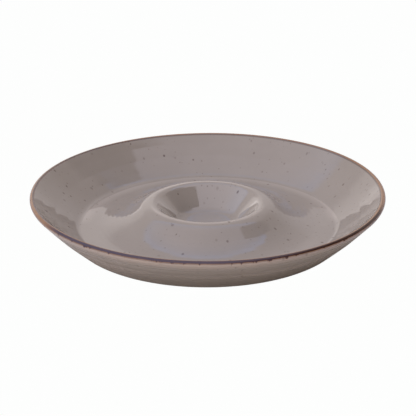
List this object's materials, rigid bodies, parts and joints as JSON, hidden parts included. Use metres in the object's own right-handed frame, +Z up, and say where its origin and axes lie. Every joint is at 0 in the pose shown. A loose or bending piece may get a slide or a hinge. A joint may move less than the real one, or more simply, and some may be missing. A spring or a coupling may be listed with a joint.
{
  "type": "chip and dip platter",
  "caption": "Round glazed stoneware chip and dip platter: flared wall with a brown edge, chip channel ring and a raised dip well in the middle.",
  "frame": {"origin": "on the table plane, at the centre of the foot ring", "axes": "+Z up along the platter's turning axis; X and Y level, the picture looks along +Y"},
  "size_m": [0.3, 0.3, 0.038],
  "materials": {
    "bare_clay": "matt fired clay, bare only on the foot ring",
    "upper_glaze": "high gloss taupe grey with brown iron specks",
    "rim_band": "semi-gloss brown edge, mottled where it meets the wall",
    "wall_glaze": "gloss olive taupe with fine level brush lines",
    "base_glaze": "gloss taupe grey"
  },
  "bodies": {
    "root": {"clay_body": "bare_clay", "upper_glaze": "upper_glaze", "rim_band": "rim_band", "wall_glaze": "wall_glaze", "base_glaze": "base_glaze"}
  },
  "joints": []
}
